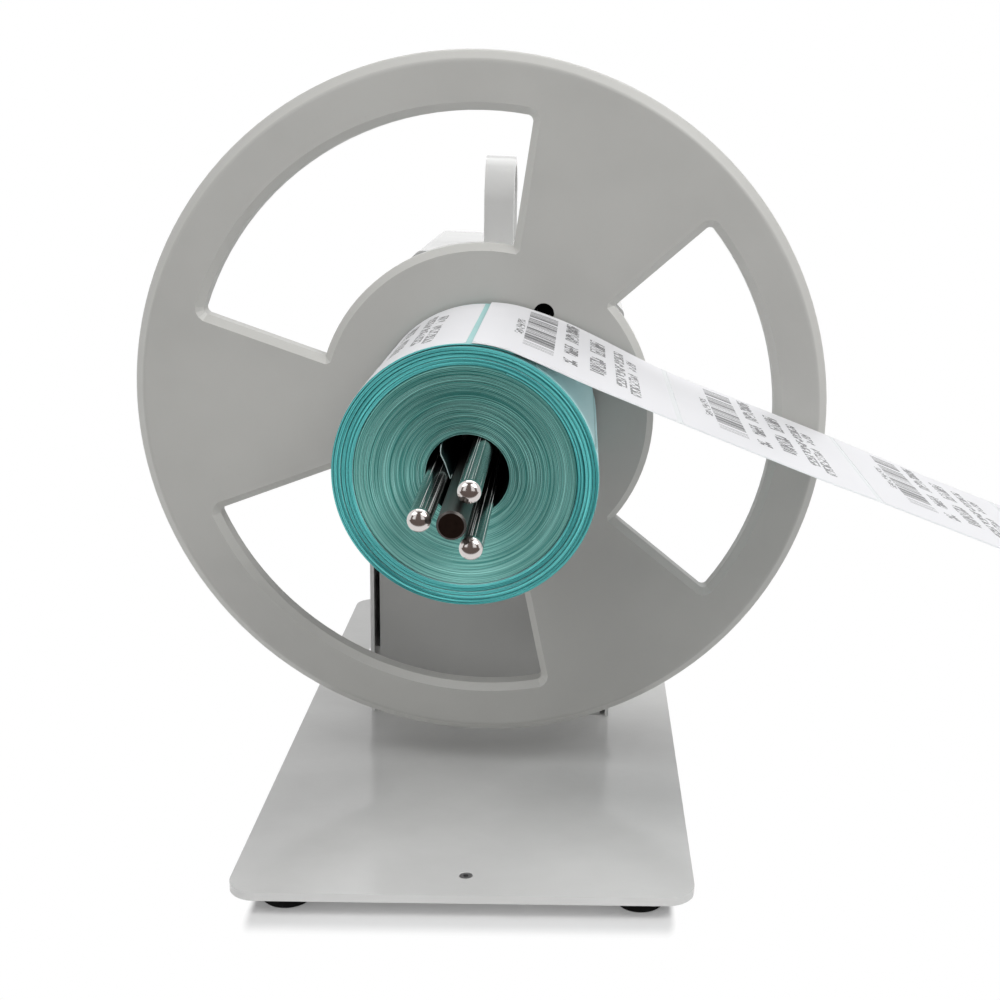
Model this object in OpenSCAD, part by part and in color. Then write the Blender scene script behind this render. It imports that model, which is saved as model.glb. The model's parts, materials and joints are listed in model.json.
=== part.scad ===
// Label rewinder: windowed winding disc and three-rod spindle on a sheet-metal column.
// Millimetres. X to the right, Y to the back, Z up, z = 0 on the table. The modules are drawn from the
// spindle plane x = 0 and the front face of the winding disc y = 0; the last lines then move all of
// them together, so that the origin lies under the middle of the whole outline.

/* [Base plate] */
// Width of the plate
base_w = 153; // [140:1:180]
// Depth of the plate
base_d = 308; // [280:1:340]
// Thickness of the plate
base_t = 3; // [2.5:0.5:5]
// Corner radius of the plate
base_r = 10; // [4:1:16]
// Front edge of the plate ahead of the disc face
base_lead = 102; // [90:0.5:120]
// Diameter of a rubber foot
foot_d = 18; // [12:1:20]
// Height of a rubber foot
foot_h = 5.5; // [4:0.5:8]
// Foot centre in from the side edges
foot_in_x = 18; // [14:1:24]
// Foot centre in from the front and rear edges
foot_in_y = 13; // [11:1:20]
// Plug screw behind the front edge
plug_in_y = 13.5; // [9:0.5:30]

/* [Column] */
// Spindle axis above the plate
axis_rise = 139; // [132:1:170]
// Width of the column
col_w = 100; // [94:1:110]
// Depth of the column
col_d = 110; // [106:1:120]
// Column front edge behind the disc face
col_lead = 53.5; // [52:0.5:60]
// Flat top above the spindle axis
col_over = 52.5; // [48:0.5:60]
// Size of the 45 degree shoulders
shoulder = 20; // [14:1:24]
// Sheet thickness of the shell
sheet_t = 1.5; // [1.2:0.1:2]
// Outer bend radius of the shell
bend_r = 3; // [2.5:0.25:5]
// Thickness of the front and rear panels
panel_t = 2; // [1.5:0.25:3]
// Open gap between a panel and the shell
panel_gap = 2.25; // [1:0.25:3]
// Set-back of a panel from the shell edge
panel_in = 1; // [0.5:0.25:3]
// Width of the shell's foot flanges
flange_w = 14; // [12:0.5:18]

/* [Carrying loop] */
// Width of the strip
loop_w = 11.5; // [10:0.5:16]
// Thickness of the strip
loop_t = 3; // [2:0.25:4]
// Outer span of the loop from front to back
loop_span = 33; // [32:1:44]
// Height of the loop above the column
loop_h = 36; // [30:1:48]
// Front of the loop behind the column edge
loop_in = 10; // [6:1:24]

/* [Winding disc] */
// Radius of the disc
disc_r = 125; // [118:1:126]
// Thickness of the disc
disc_t = 8.5; // [7:0.5:10]
// Bevel of the front rim
rim_bevel = 3.5; // [2.5:0.25:4.5]
// Rounding of the rim bevel's edges
rim_round = 2.5; // [1:0.25:3]
// Outer radius of the windows
win_ro = 105.2; // [98:0.2:108]
// Inner radius of the windows
win_ri = 60.6; // [54:0.2:66]
// Angle of one window
win_ang = 80.3; // [60:0.1:90]
// Bevel around the windows
win_bevel = 2.5; // [1:0.25:3]
// Corner radius at the outer window corners
win_corner = 2.2; // [1.5:0.1:4]
// Turn of the disc in the rest pose
disc_turn = 2.1; // [-30:0.1:30]
// Radius of the outer rod holes
hole_ring = 42; // [38:0.5:46]
// Diameter of the outer rod holes
hole_d = 7.4; // [6:0.1:9]

/* [Spindle] */
// Diameter of the spindle shaft
shaft_d = 8; // [7:0.5:8.5]
// Shaft tip in front of the disc face
shaft_reach = 155.5; // [140:0.5:180]
// Diameter of a core rod
rod_d = 6.5; // [5.5:0.25:7]
// Circle radius of the core rods
rod_ring = 9; // [8.5:0.25:10]
// Rod tip in front of the disc face
rod_reach = 152; // [130:0.2:175]
// Diameter of a rod's screwed end
stud_d = 5; // [4:0.25:5.5]
// Diameter of the hub flange behind the outer rod holes
hub_d = 98; // [94:1:104]
// Thickness of the hub flange
hub_t = 6; // [5:0.5:8]
// Diameter of the hub boss
boss_d = 22; // [18:1:26]
// Length of the hub boss
boss_l = 13.5; // [11:0.5:14]

/* [Label roll and web] */
// Width of the label web
web_w = 100; // [60:1:120]
// Outer radius of the roll
roll_r = 40; // [38:0.2:44]
// Thickness of the web strip
web_t = 0.6; // [0.5:0.05:0.7]
// Step of the outer turns
wrap_step = 1.05; // [1.05:0.05:1.3]
// Outer turns that are wound
wrap_turns = 3; // [1:1:4]
// Outer turns stand proud of the roll face
wrap_proud = 1.5; // [0:0.25:3]
// Fall of the web below level
web_fall = 19.6; // [10:0.2:30]
// Web back edge in front of the disc face
web_off = 1.5; // [1:0.25:4]
// Length of the web from the roll
web_l = 203; // [150:1:260]

/* [Drive] */
// Outer diameter of the ball bearings
brg_d = 22; // [20:0.5:24]
// Width of the ball bearings
brg_w = 7; // [6:0.5:8]
// Diameter of the bearing housing
barrel_d = 34; // [30:1:38]
// Diameter of the bearing flange
seat_d = 70; // [68:1:78]
// Thickness of the bearing flange
seat_t = 5; // [4:0.5:7]
// Circle radius of the flange screws
seat_ring = 28; // [27:0.5:29]
// Diameter of the gearbox
gear_d = 37; // [34:1:40]
// Length of the gearbox
gear_l = 28; // [24:1:32]
// Diameter of the motor
motor_d = 34.5; // [30:0.5:36]
// Length of the motor
motor_l = 26; // [20:1:30]
// Diameter of the motor's output shaft
out_d = 6; // [5:0.5:6.5]
// Diameter of the coupling
cpl_d = 20; // [18:1:24]

/* [Controls] */
// Height of the knob and the switch above the plate
ctl_z = 62; // [55:1:90]
// Sideways offset of the knob and the switch
ctl_x = 22; // [19:1:26]
// Height of the power inlet above the plate
inlet_z = 30; // [27:1:36]
// Diameter of the speed knob
knob_d = 24; // [20:1:28]
// Height of the speed knob
knob_h = 15; // [13:1:18]

/* [Clearances] */
// Radial clearance of a running fit
run_gap = 0.03; // [0.02:0.01:0.08]
// Radial clearance of a seated or screwed fit
seat_gap = 0.02; // [0.02:0.01:0.05]
// Radial clearance of a through hole
pass_gap = 0.2; // [0.1:0.05:0.4]
// Clearance between pieces that move past each other
move_gap = 0.3; // [0.3:0.05:0.6]

/* [Hidden] */
$fn = 96;
eps = 0.01;
plate_z = foot_h;
top_z = plate_z + base_t;
axis_z = top_z + axis_rise;
base_y0 = -base_lead;
base_y1 = base_y0 + base_d;
col_y0 = col_lead;
col_y1 = col_y0 + col_d;
col_z1 = axis_z + col_over;
in_w = col_w / 2 - sheet_t;
pan_w = in_w - panel_gap;
pan_top = col_z1 - sheet_t - panel_gap;
mitre = tan(22.5);
fp_y0 = col_y0 + panel_in;
fp_y1 = fp_y0 + panel_t;
rp_y1 = col_y1 - panel_in;
rp_y0 = rp_y1 - panel_t;

// Screw sizes: radius of shank, radius and height of head
m3 = [1.5, 2.8, 2];
m4 = [2, 3.6, 2.6];
m4cap = [2, 3.5, 4];
nut4_w = 7;
nut4_t = 3;
plug_sink = 0.8;

// Stack along the spindle, as world y
hub_y1 = disc_t + hub_t;
boss_y1 = hub_y1 + boss_l;
seat_y0 = fp_y0 - seat_t;
barrel_y0 = boss_y1 + 2;
brg1_y0 = barrel_y0 + 0.5;
brg1_y1 = brg1_y0 + brg_w;
spigot_y1 = fp_y1 + 10;
brg2_y1 = spigot_y1 - 0.5;
brg2_y0 = brg2_y1 - brg_w;
cpl_y0 = spigot_y1 + 1.5;
cpl_l = 23;
cpl_y1 = cpl_y0 + cpl_l;
split_y = cpl_y0 + cpl_l / 2;
mp_y0 = cpl_y1 + 4;
mp_t = 3;
mp_y1 = mp_y0 + mp_t;
mp_edge = 8;
mp_corner = 6;
spacer_r = 4.5;
mp_half = seat_ring * cos(45) + mp_edge;
gear_boss_r = 6;
gear_boss_y0 = cpl_y1 + 1.5;
gear_y1 = mp_y1 + gear_l;
motor_y1 = gear_y1 + motor_l;
gear_ring = (gear_boss_r + gear_d / 2) / 2 + 3;

// Places of the fasteners
base_pts = [for (sx = [-1, 1], y = [col_y0 + 24, col_y1 - 24]) [sx * (in_w - flange_w / 2), y]];
tab_w = 40;
tab_d = 13;
pan_pts = [for (sx = [-1, 1], y = [fp_y1 + tab_d / 2 + 1, rp_y0 - tab_d / 2 - 1])
  [sx * (tab_w / 2 - 6), y]];
side_z = [top_z + 22, axis_z + 6];
lug_h = 12;
lug_d = 12;
lug_in = 4;
loop_y0 = col_y0 + loop_in;
loop_y1 = loop_y0 + loop_span;
loop_foot = 11;
loop_ys = [loop_y0 + loop_t + 4.6, loop_y1 - loop_t - 4.6];
quad = [45, 135, 225, 315];
brd_w = 56;
brd_d = 42;
brd_t = 1.6;
brd_rise = 9;
brd_pt_in = 4;
// Capacitor, heat sink, terminal block and chip: place on the board, then size
cap_x = 14;
cap_y = 12;
cap_r = 5;
cap_h = 14;
sink_x = 28;
sink_y = 10;
sink_w = 14;
sink_d = 5;
sink_h = 16;
clamp_x = 24;
clamp_y = 26;
clamp_w = 20;
clamp_d = 9;
clamp_h = 9;
chip_x = 10;
chip_w = 8;
chip_h = 3;
standoff_r = 3;
brd_y0 = (fp_y1 + rp_y0) / 2 - brd_d / 2;
brd_z = top_z + brd_rise;
brd_pts = [for (sx = [-1, 1], sy = [-1, 1])
  [sx * (brd_w / 2 - brd_pt_in), brd_y0 + brd_d / 2 + sy * (brd_d / 2 - brd_pt_in)]];
pot_x = -ctl_x;
sw_x = ctl_x;
ctl_zz = top_z + ctl_z;
jack_x = ctl_x;
jack_z = top_z + inlet_z;
pot_r = 3;
pot_bush_r = 3.5;
knob_y0 = rp_y1 + 3.2;
sw_w = 13;
sw_h = 19;
sw_bez = 1.2;
sw_bez_t = 2;
rocker_w = 9;
rocker_h = 14.4;
rocker_tilt = 9;
rocker_z = -1.5;

// Winding of the outer turns: radius of the outer side at angle a
lift = 90 - web_fall;
function wrap_r(a) = roll_r - wrap_step * (a - lift) / 360;
wrap_n = 60 * wrap_turns;
wrap_a = [for (i = [0:wrap_n]) lift + 6 * i];
wrap_out = [for (a = wrap_a) wrap_r(a) * [cos(a), sin(a)]];
wrap_in = [for (a = wrap_a) (wrap_r(a) - web_t) * [cos(a), sin(a)]];
core_r = wrap_r(lift + 360 * wrap_turns) - web_t - 0.25;
bore_r = rod_ring + rod_d / 2 + 0.25;
wrap_gap = wrap_turns < 2 ? wrap_step - web_t
  : min([for (i = [0:wrap_n - 60], j = [-2:2])
      norm(wrap_in[i] - wrap_out[min(wrap_n, max(0, i + 60 + j))])]);
echo(least_gap_of_the_winding = wrap_gap);

// Middle of the whole outline: from the disc's rim to the web's end, and from the shaft's tip to the
// plate's rear edge
web_seat = roll_r + move_gap;
web_end_x = (web_seat + web_t) * cos(lift) + web_l * cos(web_fall);
middle_x = (web_end_x - disc_r) / 2;
middle_y = (base_d - base_lead - shaft_reach) / 2;
echo(middle = [middle_x, middle_y]);

// Helpers
// Spindle frame: local z runs towards the viewer, local x and y are world X and Z
module on_axis() { translate([0, 0, axis_z]) rotate([90, 0, 0]) children(); }

// Cylinder about the spindle from world y a to world y b
module ycyl(r, a, b) { translate([0, 0, -b]) cylinder(r = r, h = b - a); }

// Solid of revolution about the spindle from points [radius, world y]
module yturn(pts) { rotate_extrude() polygon([for (p = pts) [p[0], -p[1]]]); }

// Screw along +Z with its head seat at z = 0 and a hex socket in the head
module screw(s, l) {
  difference() {
    union() {
      translate([0, 0, -l]) cylinder(r = s[0], h = l);
      cylinder(r = s[1], h = s[2]);
    }
    translate([0, 0, s[2] * 0.45]) cylinder(r = s[0] * 0.8, h = s[2], $fn = 6);
  }
}

// Hex nut with its lower face at z = 0
module nut(w, t, r) {
  difference() {
    cylinder(r = w / sqrt(3), h = t, $fn = 6);
    translate([0, 0, -1]) cylinder(r = r, h = t + 2);
  }
}

module round_rect(w, d, r) {
  union() {
    translate([r, 0]) square([w - 2 * r, d]);
    translate([0, r]) square([w, d - 2 * r]);
    for (x = [r, w - r], y = [r, d - r]) translate([x, y]) circle(r);
  }
}

// Column outline in X and Z, half width w, top z1, shoulder s, bends of radius r
function arc(c, r, a0, a1, n) = [for (i = [0:n]) let (a = a0 + (a1 - a0) * i / n) c + r * [cos(a), sin(a)]];
function half_outline(w, z1, s, r) = concat(
  arc([w - r, z1 - s - r * mitre], r, 0, 45, 4),
  arc([w - s - r * mitre, z1 - r], r, 45, 90, 4));
function col_outline(w, z0, z1, s, r) = let (h = half_outline(w, z1, s, r), n = len(h))
  concat([[w, z0]], h, [for (i = [n - 1:-1:0]) [-h[i][0], h[i][1]]], [[-w, z0]]);

// Extrude an X-Z outline from world y a to world y b
module xz(a, b) { translate([0, b, 0]) rotate([90, 0, 0]) linear_extrude(b - a) children(); }

// Base plate and feet
module base_plate() {
  color("lightgrey") difference() {
    translate([-base_w / 2, base_y0, plate_z]) linear_extrude(base_t) round_rect(base_w, base_d, base_r);
    for (p = concat(base_pts, pan_pts)) translate([p[0], p[1], 0]) cylinder(r = m4[0] + pass_gap, h = 40);
    for (p = brd_pts) translate([p[0], p[1], 0]) cylinder(r = m3[0] + pass_gap, h = 40);
    translate([0, base_y0 + plug_in_y, 0]) {
      cylinder(r = m3[0] + seat_gap, h = 40);
      translate([0, 0, top_z - plug_sink])
        cylinder(r1 = m3[0] + seat_gap, r2 = m3[0] + seat_gap + plug_sink + 0.01, h = plug_sink + 0.01);
    }
  }
}

module rubber_feet() {
  color("black")
    for (sx = [-1, 1], y = [base_y0 + foot_in_y, base_y1 - foot_in_y])
      translate([sx * (base_w / 2 - foot_in_x), y, 0]) rotate_extrude()
        polygon([[0, 0], [foot_d / 2 - 1.4, 0], [foot_d / 2 - 0.6, 0.8], [foot_d / 2, plate_z],
          [0, plate_z]]);
}

module plug_screw() {
  color("dimgrey") translate([0, base_y0 + plug_in_y, 0]) difference() {
    union() {
      translate([0, 0, plate_z - 2]) cylinder(r = m3[0], h = base_t + 0.5);
      translate([0, 0, top_z - plug_sink])
        cylinder(r1 = m3[0], r2 = m3[0] + plug_sink - 0.1, h = plug_sink - 0.1);
    }
    translate([0, 0, top_z - 1]) cylinder(r = 1, h = 2, $fn = 6);
  }
}

// Column
module housing_shell() {
  color("silver") difference() {
    union() {
      xz(col_y0, col_y1) difference() {
        polygon(col_outline(col_w / 2, top_z, col_z1, shoulder, bend_r));
        polygon(col_outline(in_w, top_z - 1, col_z1 - sheet_t,
          shoulder + sheet_t * (mitre - 1), bend_r - sheet_t));
      }
      for (sx = [-1, 1])
        translate([sx * (in_w - flange_w / 2) - flange_w / 2 - eps, fp_y1 + 4, top_z])
          cube([flange_w + 2 * eps, rp_y0 - fp_y1 - 8, sheet_t]);
    }
    for (p = base_pts) translate([p[0], p[1], 0]) cylinder(r = m4[0] + pass_gap, h = top_z + 10);
    for (z = side_z, y = [fp_y1 + lug_d / 2, rp_y0 - lug_d / 2])
      translate([-col_w, y, z]) rotate([0, 90, 0]) cylinder(r = m3[0] + pass_gap, h = 2 * col_w);
    for (y = loop_ys) translate([0, y, col_z1 - 5]) cylinder(r = m4[0] + pass_gap, h = 10);
  }
}

// Sheet panel with a foot flange and four side lugs; s = 1 folds to the back, s = -1 to the front
module panel(y0, s) {
  y_in = s > 0 ? y0 + panel_t : y0;
  difference() {
    union() {
      xz(y0, y0 + panel_t) polygon(col_outline(pan_w, top_z, pan_top,
        shoulder + (sheet_t + panel_gap) * (mitre - 1), bend_r - sheet_t));
      translate([-tab_w / 2, s > 0 ? y_in - eps : y_in - tab_d, top_z]) cube([tab_w, tab_d + eps, panel_t]);
      for (sx = [-1, 1], z = side_z)
        translate([sx > 0 ? pan_w - lug_in : -in_w, s > 0 ? y_in - eps : y_in - lug_d, z - lug_h / 2])
          cube([in_w - pan_w + lug_in, lug_d + eps, lug_h]);
    }
    for (p = pan_pts) translate([p[0], p[1], 0]) cylinder(r = m4[0] + pass_gap, h = top_z + 12);
    for (z = side_z) translate([-col_w, y_in + s * lug_d / 2, z]) rotate([0, 90, 0])
      cylinder(r = m3[0] + seat_gap, h = 2 * col_w);
  }
}

module front_panel() {
  color("grey") difference() {
    panel(fp_y0, 1);
    on_axis() {
      ycyl(barrel_d / 2 + pass_gap, fp_y0 - 1, fp_y1 + 1);
      for (a = quad) rotate(a) translate([seat_ring, 0, 0]) ycyl(m4cap[0] + pass_gap, fp_y0 - 1, fp_y1 + 1);
    }
  }
}

module rear_panel() {
  color("grey") difference() {
    panel(rp_y0, -1);
    translate([pot_x, rp_y0 - 1, ctl_zz]) rotate([-90, 0, 0])
      cylinder(r = pot_bush_r + seat_gap, h = panel_t + 2);
    translate([jack_x, rp_y0 - 1, jack_z]) rotate([-90, 0, 0])
      cylinder(r = 4 + seat_gap, h = panel_t + 2);
    translate([sw_x - sw_w / 2 - pass_gap, rp_y0 - 1, ctl_zz - sw_h / 2 - pass_gap])
      cube([sw_w + 2 * pass_gap, panel_t + 2, sw_h + 2 * pass_gap]);
  }
}

// Screws from under the plate through the shell and panel flanges
module base_screws() {
  color("grey") {
    for (p = base_pts) translate([p[0], p[1], plate_z]) mirror([0, 0, 1])
      screw(m4, base_t + sheet_t + nut4_t + 1);
    for (p = pan_pts) translate([p[0], p[1], plate_z]) mirror([0, 0, 1])
      screw(m4, base_t + panel_t + nut4_t + 1);
  }
}

module base_nuts() {
  color("silver") {
    for (p = base_pts) translate([p[0], p[1], top_z + sheet_t]) nut(nut4_w, nut4_t, m4[0] + seat_gap);
    for (p = pan_pts) translate([p[0], p[1], top_z + panel_t]) nut(nut4_w, nut4_t, m4[0] + seat_gap);
  }
}

module panel_screws() {
  color("grey")
    for (sx = [-1, 1], z = side_z, y = [fp_y1 + lug_d / 2, rp_y0 - lug_d / 2])
      translate([sx * col_w / 2, y, z]) rotate([0, sx * 90, 0])
        screw(m3, sheet_t + panel_gap + lug_in - 0.5);
}

// Strip bent into a loop with a half-round top and feet folded inwards
module carry_loop() {
  r = loop_span / 2;
  ym = loop_y0 + r;
  color("silver") difference() {
    translate([-loop_w / 2, 0, 0]) rotate([90, 0, 90]) linear_extrude(loop_w) difference() {
      union() {
        translate([loop_y0, col_z1]) square([loop_span, loop_h - r]);
        translate([ym, col_z1 + loop_h - r]) circle(r);
      }
      translate([loop_y0 + loop_t, col_z1 + loop_t]) square([loop_span - 2 * loop_t, loop_h - r - loop_t]);
      translate([ym, col_z1 + loop_h - r]) circle(r - loop_t);
      translate([loop_y0 + loop_t + loop_foot, col_z1 - 1])
        square([loop_span - 2 * loop_t - 2 * loop_foot, loop_t + 2]);
    }
    for (y = loop_ys) translate([0, y, col_z1 - 1]) cylinder(r = m4[0] + pass_gap, h = loop_t + 2);
  }
}

module loop_screws() {
  color("grey") for (y = loop_ys) translate([0, y, col_z1 + loop_t])
    screw(m4, loop_t + sheet_t + nut4_t + 1);
}

module loop_nuts() {
  color("silver") for (y = loop_ys) translate([0, y, col_z1 - sheet_t - nut4_t])
    nut(nut4_w, nut4_t, m4[0] + seat_gap);
}

// Bearing housing and drive
module bearing_housing() {
  rb = brg_d / 2 + seat_gap;
  color("darkgrey") on_axis() difference() {
    yturn([[rb, barrel_y0], [barrel_d / 2 - 1, barrel_y0], [barrel_d / 2, barrel_y0 + 1],
      [barrel_d / 2, seat_y0 - 2], [barrel_d / 2 + 2, seat_y0], [seat_d / 2 - 1, seat_y0],
      [seat_d / 2, seat_y0 + 1], [seat_d / 2, fp_y0], [barrel_d / 2, fp_y0], [barrel_d / 2, spigot_y1],
      [rb, spigot_y1], [rb, brg2_y0], [rb - 2, brg2_y0], [rb - 2, brg1_y1], [rb, brg1_y1]]);
    for (a = quad) rotate(a) translate([seat_ring, 0, 0]) ycyl(m4cap[0] + pass_gap, seat_y0 - 1, fp_y0 + 1);
  }
}

// Sealed ball bearing from world y a, with the seal set back between its rings
module bearing(a) {
  ri = shaft_d / 2 + run_gap;
  ro = brg_d / 2;
  b = a + brg_w;
  on_axis() yturn([[ri, a], [ri + 2, a], [ri + 2, a + 0.4], [ro - 1.8, a + 0.4], [ro - 1.8, a],
    [ro - 0.4, a], [ro, a + 0.4], [ro, b - 0.4], [ro - 0.4, b], [ro - 1.8, b], [ro - 1.8, b - 0.4],
    [ri + 2, b - 0.4], [ri + 2, b], [ri, b]]);
}

module front_bearing() { color("gainsboro") bearing(brg1_y0); }

module rear_bearing() { color("gainsboro") bearing(brg2_y0); }

spacer_bite = 9;
module flange_screws() {
  color("grey") on_axis() for (a = quad) rotate(a) translate([seat_ring, 0, -seat_y0])
    screw(m4cap, seat_t + panel_t + spacer_bite);
}

module motor_spacers() {
  color("gainsboro") on_axis() for (a = quad) rotate(a) translate([seat_ring, 0, 0]) difference() {
    ycyl(spacer_r, fp_y1, mp_y0);
    ycyl(m4[0] + seat_gap, fp_y1 - 1, fp_y1 + spacer_bite + 1);
    ycyl(m4[0] + seat_gap, mp_y0 - spacer_bite - 1, mp_y0 + 1);
  }
}

module motor_plate() {
  color("silver") on_axis() difference() {
    translate([-mp_half, -mp_half, -mp_y1]) linear_extrude(mp_t)
      round_rect(2 * mp_half, 2 * mp_half, mp_corner);
    ycyl(gear_boss_r + pass_gap, mp_y0 - 1, mp_y1 + 1);
    for (a = quad) rotate(a) translate([seat_ring, 0, 0]) ycyl(m4[0] + pass_gap, mp_y0 - 1, mp_y1 + 1);
    for (i = [0:5]) rotate(30 + 60 * i) translate([gear_ring, 0, 0])
      ycyl(m3[0] + pass_gap, mp_y0 - 1, mp_y1 + 1);
  }
}

module plate_screws() {
  color("grey") on_axis() for (a = quad) rotate(a) translate([seat_ring, 0, -mp_y1]) mirror([0, 0, 1])
    screw(m4, mp_t + spacer_bite);
}

gear_bite = 5;
module gearbox_case() {
  color("silver") on_axis() difference() {
    yturn([[out_d / 2 + run_gap, gear_boss_y0], [gear_boss_r - 0.5, gear_boss_y0],
      [gear_boss_r, gear_boss_y0 + 0.5], [gear_boss_r, mp_y1], [gear_d / 2 - 0.6, mp_y1],
      [gear_d / 2, mp_y1 + 0.6], [gear_d / 2, gear_y1], [0, gear_y1], [0, mp_y1 + 12],
      [out_d / 2 + run_gap, mp_y1 + 12]]);
    for (i = [0:5]) rotate(30 + 60 * i) translate([gear_ring, 0, 0])
      ycyl(m3[0] + seat_gap, mp_y1 - 1, mp_y1 + gear_bite + 1);
  }
}

module gear_screws() {
  color("grey") on_axis() for (i = [0:5]) rotate(30 + 60 * i) translate([gear_ring, 0, -mp_y0])
    screw([m3[0], 2.6, 2], mp_t + gear_bite);
}

module motor_can() {
  color("dimgrey") on_axis() {
    yturn([[0, gear_y1], [motor_d / 2 - 1, gear_y1], [motor_d / 2, gear_y1 + 1],
      [motor_d / 2, motor_y1 - 2], [motor_d / 2 - 2, motor_y1], [5, motor_y1], [5, motor_y1 + 2.5],
      [4, motor_y1 + 3], [0, motor_y1 + 3]]);
    for (sx = [-1, 1]) translate([sx * 10 - 0.4, -1.5, -motor_y1 - 4]) cube([0.8, 3, 4 + eps]);
  }
}

// Speed control board on its standoffs
module control_board() {
  bx = -brd_w / 2;
  color("darkgreen") difference() {
    union() {
      translate([bx, brd_y0, brd_z]) cube([brd_w, brd_d, brd_t]);
      translate([bx + cap_x, brd_y0 + cap_y, brd_z + brd_t - eps]) cylinder(r = cap_r, h = cap_h);
      translate([bx + sink_x, brd_y0 + sink_y, brd_z + brd_t - eps]) cube([sink_w, sink_d, sink_h]);
      translate([bx + clamp_x, brd_y0 + clamp_y, brd_z + brd_t - eps]) cube([clamp_w, clamp_d, clamp_h]);
      translate([bx + chip_x, brd_y0 + clamp_y, brd_z + brd_t - eps]) cube([chip_w, chip_w, chip_h]);
    }
    for (p = brd_pts) translate([p[0], p[1], brd_z - 1]) cylinder(r = m3[0] + pass_gap, h = brd_t + 2);
  }
}

module board_standoffs() {
  color("gainsboro") for (p = brd_pts) translate([p[0], p[1], top_z]) difference() {
    cylinder(r = standoff_r, h = brd_z - top_z);
    translate([0, 0, -1]) cylinder(r = m3[0] + seat_gap, h = brd_z - top_z + 2);
  }
}

module board_screws() {
  color("grey") for (p = brd_pts) {
    translate([p[0], p[1], brd_z + brd_t]) screw(m3, brd_t + 4);
    translate([p[0], p[1], plate_z]) mirror([0, 0, 1]) screw(m3, base_t + 4);
  }
}

// Controls on the rear panel; local z runs out of the panel to the back
module at_rear(x, z) { translate([x, rp_y1, z]) rotate([-90, 0, 0]) children(); }

module speed_pot() {
  color("dimgrey") at_rear(pot_x, ctl_zz) difference() {
    union() {
      translate([0, 0, -panel_t - 9]) cylinder(r = 8, h = 9);
      translate([0, 0, -panel_t - eps]) cylinder(r = pot_bush_r, h = panel_t + 6);
      for (i = [-1:1]) translate([i * 4 - 0.5, 6, -panel_t - 6]) cube([1, 7, 0.8]);
    }
    translate([0, 0, -panel_t - 6]) cylinder(r = pot_r + run_gap, h = panel_t + 20);
  }
}

module pot_nut() { color("silver") at_rear(pot_x, ctl_zz) nut(10, 2, pot_bush_r + seat_gap); }

module pot_shaft() {
  color("gainsboro") at_rear(pot_x, ctl_zz) translate([0, 0, -panel_t - 5.5])
    cylinder(r = pot_r, h = panel_t + 5.5 + knob_h);
}

module speed_knob() {
  color("black") at_rear(pot_x, ctl_zz) difference() {
    translate([0, 0, knob_y0 - rp_y1]) rotate_extrude()
      polygon([[0, 0], [knob_d / 2 + 1, 0], [knob_d / 2 + 1, 1.6], [knob_d / 2, 2.6],
        [knob_d / 2 - 0.8, knob_h - 1], [knob_d / 2 - 1.8, knob_h], [0, knob_h]]);
    translate([0, 0, -1]) cylinder(r = pot_bush_r + 0.6, h = 8);
    cylinder(r = pot_r + seat_gap, h = knob_h);
    for (i = [0:17]) rotate(20 * i + 10) translate([knob_d / 2 + 0.4, 0, knob_y0 - rp_y1 + 3.4])
      cylinder(r = 1, h = knob_h);
    rotate(-30) translate([-0.5, 4, knob_y0 - rp_y1 + knob_h - 0.5]) cube([1, knob_d, 2]);
  }
}

// Rocker switch: bezel and body in the panel, cap in its well
module switch_body() {
  color("black") at_rear(sw_x, ctl_zz) difference() {
    union() {
      translate([-sw_w / 2, -sw_h / 2, -panel_t - 14]) cube([sw_w, sw_h, panel_t + 14 + eps]);
      translate([-sw_w / 2 - sw_bez, -sw_h / 2 - sw_bez, 0])
        cube([sw_w + 2 * sw_bez, sw_h + 2 * sw_bez, sw_bez_t]);
      for (i = [-1, 1]) translate([-2.4, i * 5 - 0.4, -panel_t - 21]) cube([4.8, 0.8, 8]);
    }
    translate([-rocker_w / 2 - 0.5, -rocker_h / 2 - 1.2, -8]) cube([rocker_w + 1, rocker_h + 2.4, 20]);
    translate([-rocker_w / 2 - 1.5, 0, rocker_z]) rotate([0, 90, 0])
      cylinder(r = 1 + run_gap, h = rocker_w + 3);
  }
}

module rocker_cap() {
  h = rocker_h / 2;
  color("firebrick") at_rear(sw_x, ctl_zz) translate([-rocker_w / 2, 0, rocker_z])
    rotate([rocker_tilt, 0, 0]) {
    rotate([90, 0, 90]) linear_extrude(rocker_w)
      polygon([[-h, -2], [h, -2], [h, 5.4], [h / 2, 4.3], [0, 4], [-h / 2, 4.3], [-h, 5.4]]);
    translate([-1.1, 0, 0]) rotate([0, 90, 0]) cylinder(r = 1, h = rocker_w + 2.2);
  }
}

module dc_inlet() {
  color("black") at_rear(jack_x, jack_z) {
    difference() {
      union() {
        translate([0, 0, -panel_t - 11]) cylinder(r = 6, h = 11);
        translate([0, 0, -panel_t - eps]) cylinder(r = 4, h = panel_t + 4);
      }
      translate([0, 0, -panel_t - 7]) cylinder(r = 2.8, h = 30);
    }
    translate([0, 0, -panel_t - 8]) cylinder(r = 1, h = panel_t + 10);
  }
}

module inlet_nut() { color("silver") at_rear(jack_x, jack_z) nut(11, 2, 4 + seat_gap); }

// Winding disc
// Ring of a window: t = 0 straight through the disc, t = 45 opening towards the front face z = 0
module window_ring(t) {
  c = win_bevel;
  rotate_extrude() polygon(t == 0
    ? [[win_ri, -disc_t - 1], [win_ro, -disc_t - 1], [win_ro, 1], [win_ri, 1]]
    : [[win_ri + 1.5, -c - 1.5], [win_ro - 1.5, -c - 1.5], [win_ro + c + 0.5, 0.5],
      [win_ri - c - 0.5, 0.5]]);
}

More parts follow.
